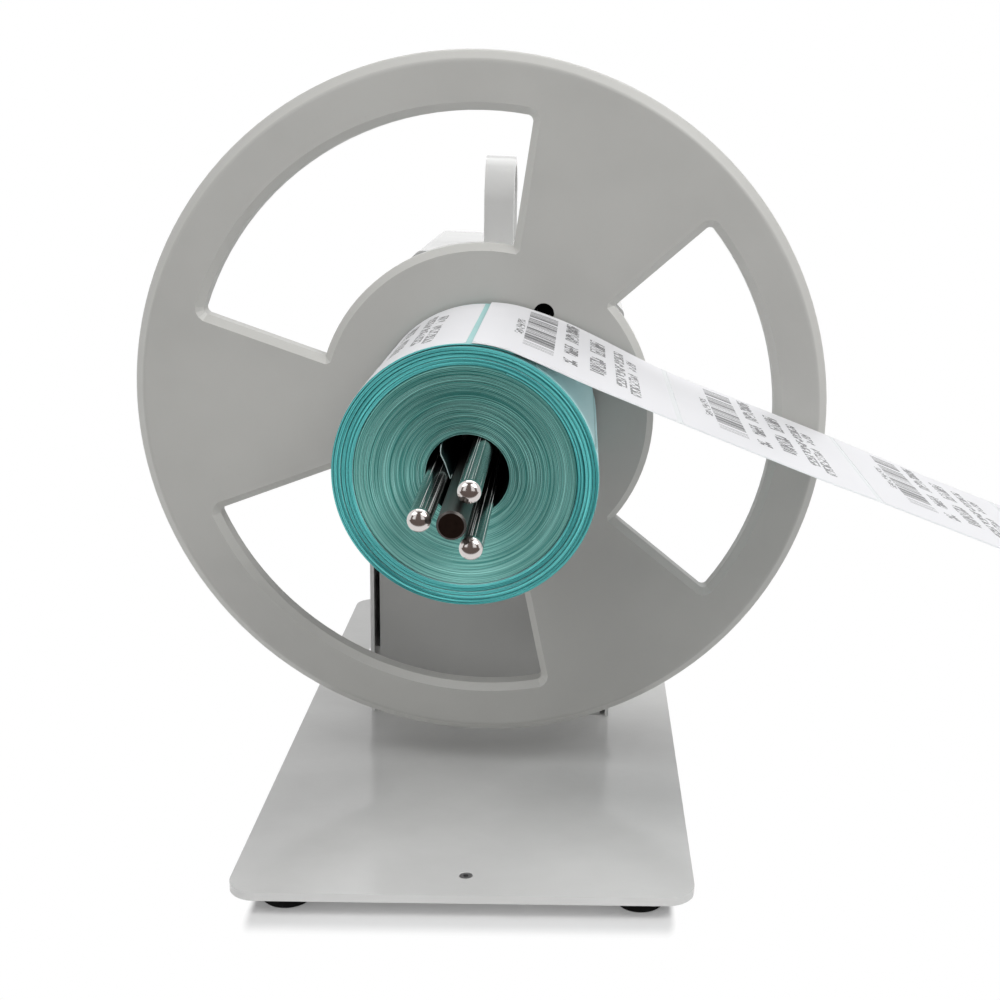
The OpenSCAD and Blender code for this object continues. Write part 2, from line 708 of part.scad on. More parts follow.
// Space behind the plane x = 0, which leans forward by t from the foot of the bevel
module behind(t) {
  big = 2 * disc_r;
  rotate([0, t, 0]) translate([-3 * big, -2 * big, -big]) cube([3 * big, 4 * big, 2 * big]);
}

// Side of a window along +X, kept on the +Y side. Three flats round its outer corner. Two more round
// the bevel at its inner corner, clear of the far end of the inner arc, and leave the straight cut sharp
module window_side(t) {
  r = win_corner;
  xc = sqrt((win_ro - r) * (win_ro - r) - r * r);
  clear = t > 0 ? 0.15 : win_bevel;
  translate([0, 0, -win_bevel]) intersection() {
    rotate(-90) behind(t);
    intersection_for (f = [22.5, 45, 67.5]) translate([xc, r, 0]) rotate(-f) translate([r, 0, 0]) behind(t);
    intersection_for (f = [47, 68]) translate([win_ri, 0, 0]) rotate(180 + f) translate([clear, 0, 0])
      behind(t);
  }
}

module window_cut(t) {
  intersection() {
    window_ring(t);
    rotate(-win_ang / 2) window_side(t);
    mirror([0, 1, 0]) rotate(-win_ang / 2) window_side(t);
  }
}

module winding_disc() {
  b = rim_bevel;
  k = rim_round * mitre;
  color("darkgrey") on_axis() rotate(disc_turn) difference() {
    yturn(concat([[0, disc_t], [0, 0]], arc([disc_r - b - k, rim_round], rim_round, -90, -45, 4),
      arc([disc_r - rim_round, b + k], rim_round, -45, 0, 4),
      [[disc_r, disc_t - 0.8], [disc_r - 0.8, disc_t]]));
    for (i = [0:2]) rotate(120 * i) {
      window_cut(0);
      window_cut(45);
      rotate(60) {
        translate([rod_ring, 0, 0]) ycyl(stud_d / 2 + pass_gap, -1, disc_t + 1);
        translate([hole_ring, 0, 0]) ycyl(hole_d / 2, -1, disc_t + 1);
      }
      translate([hub_screw_ring, 0, 0]) {
        ycyl(m4[0] + pass_gap, -1, disc_t + 1);
        translate([0, 0, -2.2]) cylinder(r1 = m4[0] + pass_gap, r2 = m4[0] + pass_gap + 2.4, h = 2.4);
      }
    }
    ycyl(shaft_d / 2 + pass_gap, -1, disc_t + 1);
  }
}

hub_screw_ring = boss_d / 2 + 9.5;
module disc_hub() {
  color("silver") on_axis() rotate(disc_turn) difference() {
    yturn([[shaft_d / 2 + seat_gap, disc_t], [hub_d / 2, disc_t], [hub_d / 2, hub_y1 - 0.8],
      [hub_d / 2 - 0.8, hub_y1], [boss_d / 2 + 1, hub_y1], [boss_d / 2, hub_y1 + 1],
      [boss_d / 2, boss_y1 - 0.8], [boss_d / 2 - 0.8, boss_y1], [shaft_d / 2 + seat_gap, boss_y1]]);
    for (i = [0:2]) rotate(120 * i) {
      for (r = [rod_ring, hole_ring])
        rotate(60) translate([r, 0, 0]) ycyl(stud_d / 2 + seat_gap, disc_t - 1, hub_y1 - 0.5);
      translate([hub_screw_ring, 0, 0]) ycyl(m4[0] + seat_gap, disc_t - 1, hub_y1 + 1);
    }
    translate([0, 0, -boss_y1 + boss_l / 2]) rotate([-90, 0, 0])
      cylinder(r = m4[0] + seat_gap, h = boss_d);
  }
}

module hub_screws() {
  color("grey") on_axis() rotate(disc_turn)
    for (i = [0:2]) rotate(120 * i) translate([hub_screw_ring, 0, 0]) difference() {
      union() {
        ycyl(m4[0], 1, hub_y1 - 0.5);
        translate([0, 0, -2.3]) cylinder(r1 = m4[0], r2 = m4[0] + 2, h = 2);
      }
      translate([0, 0, -1.6]) cylinder(r = 1.3, h = 3, $fn = 6);
    }
}

module hub_grub_screw() {
  color("dimgrey") on_axis() rotate(disc_turn) translate([0, 0, -boss_y1 + boss_l / 2])
    rotate([-90, 0, 0]) difference() {
      translate([0, 0, shaft_d / 2 + 0.05]) cylinder(r = m4[0], h = boss_d / 2 - shaft_d / 2 - 0.8);
      translate([0, 0, boss_d / 2 - 2.5]) cylinder(r = 1.1, h = 5, $fn = 6);
    }
}

module spindle_shaft() {
  r = shaft_d / 2;
  color("dimgrey") on_axis() yturn([[0, -shaft_reach], [r - 0.6, -shaft_reach], [r, -shaft_reach + 0.6],
    [r, split_y - 1.1], [r - 0.6, split_y - 0.5], [0, split_y - 0.5]]);
}

// Polished rod with a domed tip, seated on the disc and screwed into the hub
module core_rod(i) {
  r = rod_d / 2;
  dome = r * 0.75;
  color("gainsboro") on_axis() rotate(disc_turn + 60 + 120 * i) translate([rod_ring, 0, 0])
    yturn(concat([for (k = [0:9]) [r * sin(10 * k), -rod_reach + dome - dome * cos(10 * k)]],
      [[r, 0], [stud_d / 2, 0], [stud_d / 2, hub_y1 - 0.8], [0, hub_y1 - 0.8]]));
}

module core_rod_1() { core_rod(0); }

module core_rod_2() { core_rod(1); }

module core_rod_3() { core_rod(2); }

cpl_screw_y = [cpl_y0 + 5.5, cpl_y1 - 5.5];
module shaft_coupling() {
  color("silver") on_axis() difference() {
    yturn([[shaft_d / 2 + seat_gap, cpl_y0], [cpl_d / 2 - 0.6, cpl_y0], [cpl_d / 2, cpl_y0 + 0.6],
      [cpl_d / 2, cpl_y1 - 0.6], [cpl_d / 2 - 0.6, cpl_y1], [out_d / 2 + seat_gap, cpl_y1],
      [out_d / 2 + seat_gap, split_y], [shaft_d / 2 + seat_gap, split_y]]);
    for (y = cpl_screw_y) translate([0, 0, -y]) rotate([-90, 0, 0])
      cylinder(r = m4[0] + seat_gap, h = cpl_d);
  }
}

module coupling_screws() {
  color("dimgrey") on_axis() for (i = [0, 1]) translate([0, 0, -cpl_screw_y[i]])
    rotate([-90, 0, 0]) difference() {
      z0 = (i == 0 ? shaft_d : out_d) / 2 + 0.05;
      translate([0, 0, z0]) cylinder(r = m4[0], h = cpl_d / 2 - z0 - 0.3);
      translate([0, 0, cpl_d / 2 - 2.5]) cylinder(r = 1.1, h = 5, $fn = 6);
    }
}

module motor_shaft() { color("gainsboro") on_axis() ycyl(out_d / 2, split_y + 0.5, mp_y1 + 11.5); }

// Label roll and web
// Plain wound core under the outer turns, seated on the rods and against the disc
module label_roll() {
  color("teal") on_axis() yturn([[bore_r, 0], [core_r, 0], [core_r, -web_w], [bore_r, -web_w]]);
}

// One unbroken strip that winds over the core and ends where the web leaves it
module outer_turns() {
  color("white") on_axis() translate([0, 0, web_off]) linear_extrude(web_w + wrap_proud - web_off)
    polygon(concat(wrap_out, [for (i = [wrap_n:-1:0]) wrap_in[i]]));
}

// Web running off the roll to the labels' source
module label_web() {
  color("whitesmoke") on_axis() rotate(lift) translate([web_seat, -web_l, web_off])
    cube([web_t, web_l, web_w + wrap_proud - web_off]);
}

translate([-middle_x, -middle_y, 0]) {
  base_plate();
  rubber_feet();
  plug_screw();
  housing_shell();
  front_panel();
  rear_panel();
  base_screws();
  base_nuts();
  panel_screws();
  carry_loop();
  loop_screws();
  loop_nuts();
  bearing_housing();
  front_bearing();
  rear_bearing();
  flange_screws();
  motor_spacers();
  motor_plate();
  plate_screws();
  gearbox_case();
  gear_screws();
  motor_can();
  control_board();
  board_standoffs();
  board_screws();
  speed_pot();
  pot_nut();
  switch_body();
  dc_inlet();
  inlet_nut();
  label_web();
  winding_disc();
  disc_hub();
  hub_screws();
  hub_grub_screw();
  spindle_shaft();
  core_rod_1();
  core_rod_2();
  core_rod_3();
  shaft_coupling();
  coupling_screws();
  motor_shaft();
  label_roll();
  outer_turns();
  speed_knob();
  pot_shaft();
  rocker_cap();
}
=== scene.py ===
"""Looks of the label rewinder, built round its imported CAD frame.

The CAD solids keep their shapes and get painted, turned, ground and moulded finishes. The wound label
roll and the label web are made here as layers, turns, liner and die-cut labels.
"""
import json
import math

import bpy
import numpy as np
from mathutils import Matrix, Vector


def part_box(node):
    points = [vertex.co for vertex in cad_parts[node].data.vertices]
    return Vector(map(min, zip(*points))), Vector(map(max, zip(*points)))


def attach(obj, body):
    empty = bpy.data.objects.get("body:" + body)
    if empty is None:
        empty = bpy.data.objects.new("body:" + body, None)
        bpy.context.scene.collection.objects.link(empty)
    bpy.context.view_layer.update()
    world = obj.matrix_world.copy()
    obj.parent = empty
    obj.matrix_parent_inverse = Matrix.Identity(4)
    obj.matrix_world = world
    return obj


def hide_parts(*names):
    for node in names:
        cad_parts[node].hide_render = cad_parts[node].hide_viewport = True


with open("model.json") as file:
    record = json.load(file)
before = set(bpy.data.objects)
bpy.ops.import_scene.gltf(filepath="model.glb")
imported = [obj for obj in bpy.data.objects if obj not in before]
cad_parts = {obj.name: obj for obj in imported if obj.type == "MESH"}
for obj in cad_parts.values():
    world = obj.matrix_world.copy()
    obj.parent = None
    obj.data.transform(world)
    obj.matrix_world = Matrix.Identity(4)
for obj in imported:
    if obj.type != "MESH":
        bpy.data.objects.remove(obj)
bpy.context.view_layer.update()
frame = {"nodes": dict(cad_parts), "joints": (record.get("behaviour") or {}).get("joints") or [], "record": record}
NODES = frame["nodes"]
JOINTS = {joint["name"]: joint for joint in frame["joints"]}

# The spindle axis where it meets the front face of the winding disc, and the speed knob's axis
HUB = Vector(JOINTS["spindle_spin"]["pos_m"])
KNOB = Vector(JOINTS["speed_turn"]["pos_m"])
MM = 0.001

# The angle round the spindle at which the web leaves the roll
LIFT = math.radians(70.4)

# Wound roll, in millimetres from the spindle axis and the disc's front face
ROLL_R = 40.0
CORE_R = 33.4
BORE_R = 12.5
CORE_FRONT = -100.0
DISH = 3.4
LAYER_SLOPE = 0.54
TURNS = 6
TURN_DEPTHS = (0.0, 0.7, 1.9, 2.7, 4.1, 5.0, 6.3, 7.3)
TURN_GAP = 0.16

# Label strip, in millimetres: its front edge, width and layers, and the web's height over the axis
FRONT_Y = -101.2
STRIP_W = 99.6
LINER_T = 0.16
LABEL_T = 0.13
WEB_SEAT = 40.3

# Labels on the strip, and places along it from where the web leaves the roll, in millimetres
PITCH = 66.4
GAP = 2.0
MARGIN = 1.3
LABEL_CORNER = 2.0
SHORTEST_LABEL = 5.0
FIRST_GAP = -13.4
ROLL_END = -244.0
# Where the roll's painted cyan light under the web fades out, along the strip
UNDER_WEB = (-195.0, -185.0)
WEB_END = 203.0

# Rods: radius of the screwed end in millimetres, and where the polished dome begins, in metres
STUD_R = 2.5
ROD_DOME = (0.1480, 0.1487)

# Height of the web's two edges over its straight line, at places along it
BACK_EDGE = ((-12, 0.0), (0, 1.0), (11, 1.8), (24, 1.1), (48, -1.1), (62, -1.5), (85, -1.1), (120, -0.9),
             (158, -1.4), (183, -1.1), (203, -0.8))
FRONT_EDGE = ((-12, 0.0), (0, 0.0), (12, -0.4), (24, -1.0), (60, -1.3), (98, -1.4), (122, -0.9),
              (160, -0.6), (203, -0.4))

# The liner's loose inner end: places across and above the axis, and where its painted shade begins, in metres
TAIL = ((-7.7, 9.6), (-7.9, 8.0), (-7.8, 6.6), (-6.5, 3.9), (-5.0, -0.6), (-4.6, -0.4), (-4.3, 0.6))
TAIL_SHADE = (-0.0996, -0.0990)


class Value:
    """A node's output that takes part in sums: each operation on it adds one Math node."""

    def __init__(self, graph, socket):
        self.graph = graph
        self.socket = socket

    def math(self, operation, *terms):
        return self.graph.node("ShaderNodeMath", {"operation": operation}, dict(enumerate(terms)))

    def __add__(self, other):
        return self.math("ADD", self, other)

    def __radd__(self, other):
        return self.math("ADD", other, self)

    def __sub__(self, other):
        return self.math("SUBTRACT", self, other)

    def __rsub__(self, other):
        return self.math("SUBTRACT", other, self)

    def __mul__(self, other):
        return self.math("MULTIPLY", self, other)

    def __rmul__(self, other):
        return self.math("MULTIPLY", other, self)

    def __truediv__(self, other):
        return self.math("DIVIDE", self, other)

    def __mod__(self, other):
        return self.math("FLOORED_MODULO", self, other)

    def __abs__(self):
        return self.math("ABSOLUTE", self)

    def __gt__(self, other):
        return self.math("GREATER_THAN", self, other)

    def __lt__(self, other):
        return self.math("LESS_THAN", self, other)

    def floor(self):
        return self.math("FLOOR", self)

    def root(self):
        return self.math("SQRT", self)

    def least(self, other):
        return self.math("MINIMUM", self, other)

    def most(self, other):
        return self.math("MAXIMUM", self, other)

    def rise(self, low, high):
        """0 up to low, 1 from high, smooth between."""
        ends = {"From Min": low, "From Max": high, "Value": self}
        return self.graph.node("ShaderNodeMapRange", {"interpolation_type": "SMOOTHSTEP"}, ends)

    def within(self, low, high):
        """1 between low and high, 0 outside."""
        return (self > low) * (self < high)

    def band(self, start, full, fade, end):
        """Rises smoothly from start to full and falls again from fade to end."""
        return self.rise(start, full) * (1.0 - self.rise(fade, end))


class Graph:
    """A tree of shader nodes. One method adds any node, and the others put it to use."""

    def __init__(self, tree):
        self.tree = tree

    def fill(self, made, inputs):
        for key, value in inputs.items():
            if isinstance(value, Value):
                self.tree.links.new(value.socket, made.inputs[key])
            else:
                made.inputs[key].default_value = value

    def node(self, kind, settings=None, inputs=None, out=0):
        made = self.tree.nodes.new(kind)
        for key, value in (settings or {}).items():
            setattr(made, key, value)
        self.fill(made, inputs or {})
        return Value(self, made.outputs[out])

    def place(self):
        return self.node("ShaderNodeTexCoord", out=3)

    def facing(self):
        """How far the surface faces along the spindle, from 0 to 1."""
        normal = self.node("ShaderNodeTexCoord", out=1)
        return abs(self.parts(normal)[1])

    def parts(self, vector):
        split = self.node("ShaderNodeSeparateXYZ", None, {0: vector}).socket.node
        return [Value(self, split.outputs[i]) for i in range(3)]

    def stretch(self, vector, scale):
        settings = {"operation": "MULTIPLY"}
        return self.node("ShaderNodeVectorMath", settings, {0: vector, 1: scale})

    def join(self, x, y, z):
        return self.node("ShaderNodeCombineXYZ", None, {0: x, 1: y, 2: z})

    def noise(self, vector, scale, detail=2.0, rough=0.5):
        inputs = {"Vector": vector, "Scale": scale, "Detail": detail, "Roughness": rough}
        return self.node("ShaderNodeTexNoise", None, inputs)

    def chance(self, x, y, seed):
        """A fixed random number for each whole x and y."""
        inputs = {"Vector": self.join(x, y, seed)}
        return self.node("ShaderNodeTexWhiteNoise", {"noise_dimensions": "3D"}, inputs)

    def mix(self, first, second, share):
        inputs = {0: share, 6: first, 7: second}
        return self.node("ShaderNodeMix", {"data_type": "RGBA"}, inputs, out=2)

    def from_axis(self, axis):
        """Distance from an axis along the spindle's direction, and the places across and above it."""
        x, _, z = self.parts(self.place())
        across = x - axis.x
        up = z - axis.z
        return (across * across + up * up).root(), across, up

    def angle(self, across, up):
        return self.node("ShaderNodeMath", {"operation": "ARCTAN2"}, {0: up, 1: across})

    def seen(self):
        """1 for rays of the eye, mirrors and glass, 0 for light that falls on things."""
        rays = self.node("ShaderNodeLightPath").socket.node
        kinds = ("Is Camera Ray", "Is Glossy Ray", "Is Transmission Ray")
        camera, glossy, clear = [Value(self, rays.outputs[kind]) for kind in kinds]
        return camera.most(glossy).most(clear)


class Finish(Graph):
    """A material: a shader with its constants set and its varying inputs fed by nodes."""

    def __init__(self, name, constants):
        self.material = bpy.data.materials.new(name)
        self.material.use_nodes = True
        super().__init__(self.material.node_tree)
        self.shader = self.tree.nodes["Principled BSDF"]
        self.feed(constants)

    def feed(self, inputs):
        self.fill(self.shader, inputs)

    def now(self, key):
        """The value that feeds an input so far."""
        return Value(self, self.shader.inputs[key].links[0].from_socket)

    def bump(self, height, depth):
        normal = self.node("ShaderNodeBump", None, {"Height": height, "Distance": depth, "Strength": 1.0})
        self.feed({"Normal": normal})

    def show(self, surface):
        self.fill(self.tree.nodes["Material Output"], {"Surface": surface})


def rgb(red, green, blue):
    return (red, green, blue, 1.0)


def shade(colour, share):
    return rgb(*(channel * share for channel in colour[:3]))


def powder_coat(name, colour, rough, peel, fine, edge=1.0, gloss=0.5):
    """Sprayed and baked paint: orange peel, fine grain, slow changes of tone; edge above 1 paints bevels paler, a
    painted highlight.
    """
    coat = Finish(name, {"IOR": 1.5, "Specular IOR Level": gloss})
    place = coat.place()
    waves = coat.noise(place, scale=330.0, detail=1.0)
    grain = coat.noise(place, scale=2400.0)
    clouds = coat.noise(place, scale=16.0, detail=3.0, rough=0.6)
    specks = coat.noise(place, scale=900.0, detail=1.0).rise(0.72, 0.78)
    tone = coat.mix(shade(colour, 0.955), shade(colour, 1.04), clouds.rise(0.3, 0.7))
    # Painted highlight: bevels paler than the face, standing in for the light they catch.
    if edge > 1.0:
        tone = coat.mix(shade(colour, edge), tone, coat.facing().rise(0.75, 0.97))
    tone = coat.mix(tone, shade(colour, 0.9), specks * 0.25)
    coat.feed({"Base Color": tone, "Roughness": rough + grain * 0.06 - 0.03 + clouds * 0.05})
    coat.bump(waves * peel + grain * fine, depth=0.00002)
    return coat


def steel(name, colour, rough, grain_scale, stretch, depth=0.00001):
    """Drawn, ground or plated metal with a lay: grain is long where stretch is small."""
    metal = Finish(name, {"Metallic": 1.0})
    place = metal.place()
    lay = metal.noise(metal.stretch(place, stretch), grain_scale, detail=3.0, rough=0.65)
    stain = metal.noise(place, scale=45.0, detail=3.0, rough=0.6)
    tone = metal.mix(shade(colour, 0.82), shade(colour, 1.08), lay.rise(0.25, 0.75))
    tone = metal.mix(tone, shade(colour, 0.72), stain.rise(0.58, 0.8) * 0.4)
    metal.feed({"Base Color": tone, "Roughness": rough + lay * 0.16 - 0.08 + stain * 0.08})
    metal.bump(lay, depth)
    return metal


def turned(name, colour, rough, axis):
    """Lathe-turned alloy: fine rings about an axis, a little dull."""
    metal = Finish(name, {"Metallic": 1.0})
    radius = metal.from_axis(axis)[0]
    rings = metal.noise(metal.join(radius, 0.0, 0.0), scale=5200.0, rough=0.7)
    cloud = metal.noise(metal.place(), scale=60.0)
    tone = metal.mix(shade(colour, 0.8), shade(colour, 1.08), rings.rise(0.3, 0.7))
    metal.feed({"Base Color": tone, "Roughness": rough + rings * 0.14 + cloud * 0.08 - 0.1})
    metal.bump(rings, depth=0.000012)
    return metal


def moulded(name, colour, rough, grain, depth=0.00002, gloss=0.5):
    """Moulded plastic or rubber with a fine spark grain and slightly rubbed high spots."""
    mould = Finish(name, {"IOR": 1.48, "Specular IOR Level": gloss})
    place = mould.place()
    sparks = mould.noise(place, grain, rough=0.6)
    cloud = mould.noise(place, scale=70.0, detail=3.0, rough=0.6)
    rubbed = cloud.rise(0.45, 0.8) * 0.35 + sparks.rise(0.6, 0.8) * 0.15
    tone = mould.mix(colour, shade(colour, 2.2), rubbed)
    mould.feed({"Base Color": tone, "Roughness": rough + sparks * 0.12 - 0.06 + cloud * 0.05})
    mould.bump(sparks, depth)
    return mould


# Finishes of the CAD solids
# The disc's bevels get a painted highlight through edge.
disc_paint = powder_coat(
    "disc_paint", rgb(0.41, 0.408, 0.39), rough=0.38, peel=0.5, fine=0.25, edge=1.25)
body_paint = powder_coat(
    "body_paint", rgb(0.69, 0.69, 0.68), rough=0.1, peel=1.8, fine=0.02, gloss=0.28)
panel_paint = powder_coat(
    "panel_paint", rgb(0.43, 0.43, 0.42), rough=0.3, peel=0.7, fine=0.1)
foot_rubber = moulded(
    "foot_rubber", rgb(0.005, 0.005, 0.005), rough=0.8, grain=3200.0, gloss=0.12)
black_plastic = moulded(
    "black_plastic", rgb(0.014, 0.014, 0.015), rough=0.42, grain=4200.0)
rocker_plastic = moulded(
    "rocker_plastic", rgb(0.016, 0.016, 0.017), rough=0.3, grain=5200.0, depth=0.000008)
screw_steel = steel(
    "screw_steel", rgb(0.46, 0.46, 0.47), rough=0.32, grain_scale=2600.0, stretch=(1.0, 1.0, 0.4))
dark_steel = steel(
    "dark_steel", rgb(0.075, 0.07, 0.066), rough=0.38, grain_scale=2600.0, stretch=(1.0, 0.04, 1.0))
bearing_steel = steel(
    "bearing_steel", rgb(0.58, 0.58, 0.59), rough=0.18, grain_scale=3000.0, stretch=(1.0, 0.1, 1.0))
motor_steel = steel(
    "motor_steel", rgb(0.34, 0.34, 0.35), rough=0.36, grain_scale=1500.0, stretch=(1.0, 0.2, 1.0))
hub_alloy = turned("hub_alloy", rgb(0.55, 0.55, 0.56), rough=0.3, axis=HUB)
# The hub is near black as painted shade: it stands for the deep shade seen through the disc's holes.
hub_shade_black = turned("hub_shade_black", rgb(0.016, 0.016, 0.017), rough=0.42, axis=HUB)
board_resin = moulded(
    "board_resin", rgb(0.012, 0.085, 0.04), rough=0.28, grain=1600.0, depth=0.00001)


def drawn_rod(name):
    """Drawn steel rod: dark and light lines along it, partly its drawn lay and partly painted reflection streaks,
    thin white painted glints, and a polished domed end.
    """
    metal = Finish(name, {"Metallic": 1.0})
    along = metal.stretch(metal.place(), (1.0, 0.003, 1.0))
    lines = metal.noise(along, scale=900.0, detail=3.0, rough=0.7)
    # Painted glints: thin white lines along the rod that stand in for reflected highlights.
    painted_glint = metal.noise(along, scale=2300.0, detail=1.0).rise(0.60, 0.64)
    tone = metal.mix(rgb(0.16, 0.16, 0.15), rgb(0.50, 0.49, 0.47), lines.rise(0.38, 0.64))
    tone = metal.mix(tone, rgb(0.95, 0.95, 0.93), painted_glint)
    y = metal.parts(metal.place())[1]
    tip = (HUB.y - y).rise(*ROD_DOME)
    metal.feed({
        "Base Color": metal.mix(tone, rgb(0.66, 0.62, 0.605), tip),
        "Roughness": (0.14 + lines * 0.14) * (1.0 - tip) + 0.12 * tip,
        "Metallic": 1.0 - painted_glint * (1.0 - tip) * 0.7,
    })
    metal.bump(lines, depth=0.000006)
    return metal


rod_steel = drawn_rod("rod_steel")


def mark_shaft_end():
    """The shaft's cut end is painted dark brown, a painted reflection of the dark surroundings it faces, with the
    ring marks of its facing cut.
    """
    metal = dark_steel
    radius = metal.from_axis(HUB)[0]
    end = metal.facing().rise(0.9, 0.98)
    rings = metal.noise(metal.join(radius, 0.0, 0.0), scale=4200.0, rough=0.7)
    blot = metal.noise(metal.place(), scale=420.0, detail=3.0, rough=0.6)
    # Painted reflection: the end face is darkened to dark brown for the dark surroundings it mirrors.
    dark_end_reflection = metal.mix(rgb(0.012, 0.008, 0.006), rgb(0.052, 0.034, 0.027), rings * 0.5 + blot * 0.5)
    metal.feed({"Base Color": metal.mix(metal.now("Base Color"), dark_end_reflection, end)})


def mark_dial():
    """A plain scale of strokes round the speed knob on the rear panel."""
    paint = panel_paint
    first = 30.0
    spacing = 30.0
    sweep = 300.0
    slack = 2.0
    half_stroke = 0.00045
    inner, outer = 0.0146, 0.0172
    y = paint.parts(paint.place())[1]
    radius, across, up = paint.from_axis(KNOB)
    turn = paint.angle(across, up) * (180.0 / math.pi) + 90.0
    from_low = (turn % 360.0) - first
    off_stroke = abs(((from_low + spacing / 2) % spacing) - spacing / 2) * (math.pi / 180.0) * radius
    scale = from_low.within(-slack, sweep + slack)
    on_panel = y > KNOB.y - 0.012
    stroke = (off_stroke < half_stroke) * radius.within(inner, outer) * scale * on_panel
    paint.feed({"Base Color": paint.mix(paint.now("Base Color"), rgb(0.8, 0.8, 0.79), stroke)})


mark_shaft_end()
mark_dial()

FINISH_OF_SLOT = {
    "disc_paint": disc_paint,
    "body_paint": body_paint,
    "panel_paint": panel_paint,
    "foot_rubber": foot_rubber,
    "screw_steel": screw_steel,
    "dark_steel": dark_steel,
    "rod_steel": rod_steel,
    "bearing_steel": bearing_steel,
    "hub_alloy": hub_alloy,
    "motor_steel": motor_steel,
    "board_resin": board_resin,
    "black_plastic": black_plastic,
}
# disc_hub gets the near-black hub, painted shade behind the holes.
FINISH_OF_NODE = {"rocker_cap": rocker_plastic, "disc_hub": hub_shade_black}

# Label stock


def label_run(finish, on_roll):
    """Place along the strip from the point where the web leaves the roll, and across it, in millimetres."""
    x, y, z = finish.parts(finish.place())
    across = (y - HUB.y) * (1.0 / MM)
    if on_roll:
        right, up = finish.from_axis(HUB)[1:]
        along = ((finish.angle(right, up) - LIFT) % (2 * math.pi)) * -ROLL_R
    else:
        along = (x - HUB.x) * (math.sin(LIFT) / MM) - (z - HUB.z) * (math.cos(LIFT) / MM)
    return along, across


# Rows of print across a label: from and to along it, from and to across it, stroke sizes, chance of ink
ROWS = (
    (11.5, 14.3, -64.0, -33.0, 0.7, 1.15, 0.42),
    (28.2, 33.0, -81.0, -6.0, 1.2, 1.1, 0.62),
    (37.2, 42.8, -76.0, -16.0, 1.4, 1.1, 0.58),
    (46.2, 49.8, -86.0, -14.0, 1.2, 1.2, 0.64),
    (50.8, 54.4, -87.0, -24.0, 1.2, 1.2, 0.60),
)

# Block of bars in the same order, bar width and the share left white
BARS = (14.9, 25.0, -83.0, -8.0)
BAR_W = 0.62
BAR_WHITE = 0.46
BAR_INK = 0.92

# Spacing of letters and words, and the share of words left out
LETTER = 2.7
LETTER_GAP = 0.45
WORD = 8.1
WORD_WHITE = 0.1


def printed(finish, along, across):
    """How much ink lies on the label: generic bars and rows of small dashes."""
    phase = (along - FIRST_GAP) % PITCH
    space = (across % LETTER) > LETTER_GAP
    ink = 0.0
    for seed, (a0, a1, c0, c1, stroke_a, stroke_c, chance) in enumerate(ROWS):
        inside = phase.within(a0, a1) * across.within(c0, c1) * space
        cell = ((phase / stroke_a).floor(), (across / stroke_c).floor())
        stroke = finish.chance(*cell, seed + 0.5) < chance
        word = finish.chance((across / WORD).floor(), seed + 20.5, 3.5) > WORD_WHITE
        ink = inside * stroke * word + ink
    a0, a1, c0, c1 = BARS
    bar = finish.chance((across / BAR_W).floor(), 7.5, 40.5) > BAR_WHITE
    return (phase.within(a0, a1) * across.within(c0, c1) * bar * BAR_INK + ink).least(1.0)


def label_paper(name, on_roll):
    """Coated white label paper with its print; on the turn under the web, a painted cyan light from the liner over
    it, and no print.
    """
    paper = Finish(name, {"IOR": 1.45})
    along, across = label_run(paper, on_roll)
    drawn = paper.stretch(paper.place(), (1.0, 0.35, 1.0))
    fibres = paper.noise(drawn, scale=2600.0, detail=3.0, rough=0.6)
    cloud = paper.noise(paper.place(), scale=55.0)
    white = paper.mix(rgb(0.80, 0.80, 0.825), rgb(0.86, 0.86, 0.88), fibres * 0.5 + cloud * 0.5)
    ink = printed(paper, along, across)
    # Painted light: the turn under the web is tinted cyan for the light that comes through the liner, and has no
    # print.
    if on_roll:
        painted_web_light = 1.0 - along.rise(*UNDER_WEB)
        white = paper.mix(white, rgb(0.61, 0.92, 0.94), painted_web_light)
        ink = ink * (1.0 - painted_web_light)
    uneven = 0.85 + fibres * 0.15
    paper.feed({
        "Base Color": paper.mix(white, rgb(0.022, 0.022, 0.026), ink * uneven),
        "Roughness": 0.42 + fibres * 0.12 - ink * 0.1,
    })
    paper.bump(fibres, depth=0.000006)
    return paper


def wound_liner(name, deep, pale, side, lip=0.0):
    """Liner wound up: rings of many layers on the ends, plain sides, and paler rings round the bore."""
    film = Finish(name, {"IOR": 1.45, "Specular IOR Level": 0.35})
    radius, across, up = film.from_axis(HUB)
    drift = 0.0002
    ring = film.join(radius, across / radius * drift, up / radius * drift)
    layers = film.noise(ring, scale=3600.0, rough=0.7)
    bands = film.noise(ring, scale=620.0)
    fibres = film.noise(film.place(), scale=1500.0)
    share = layers.rise(0.38, 0.62) * 0.65 + bands.rise(0.36, 0.64) * 0.25 + fibres * 0.1
    near_bore = 1.0 - (radius * (1.0 / MM)).rise(BORE_R + 1.0, BORE_R + 4.0)
    share = (share + near_bore * layers.rise(0.45, 0.6) * lip).least(1.0)
    cloud = film.noise(film.place(), scale=90.0)
    plain = film.mix(shade(side, 0.93), shade(side, 1.05), cloud)
    film.feed({
        "Base Color": film.mix(plain, film.mix(deep, pale, share), film.facing().rise(0.3, 0.6)),
        "Roughness": 0.34 + layers * 0.2,
    })
    film.bump(layers, depth=0.00003)
    return film


def flat_liner(name, colour):
    """Single liner, as between the labels of the web: calendered and faintly cloudy."""
    film = Finish(name, {"IOR": 1.45, "Coat Weight": 0.2, "Coat Roughness": 0.2})
    cloud = film.noise(film.place(), scale=90.0)
    fibres = film.noise(film.stretch(film.place(), (1.0, 0.3, 1.0)), scale=2200.0)
    film.feed({
        "Base Color": film.mix(shade(colour, 0.95), shade(colour, 1.03), cloud * 0.6 + fibres * 0.4),
        "Roughness": 0.34 + fibres * 0.12,
    })
    film.bump(fibres, depth=0.000005)
    return film


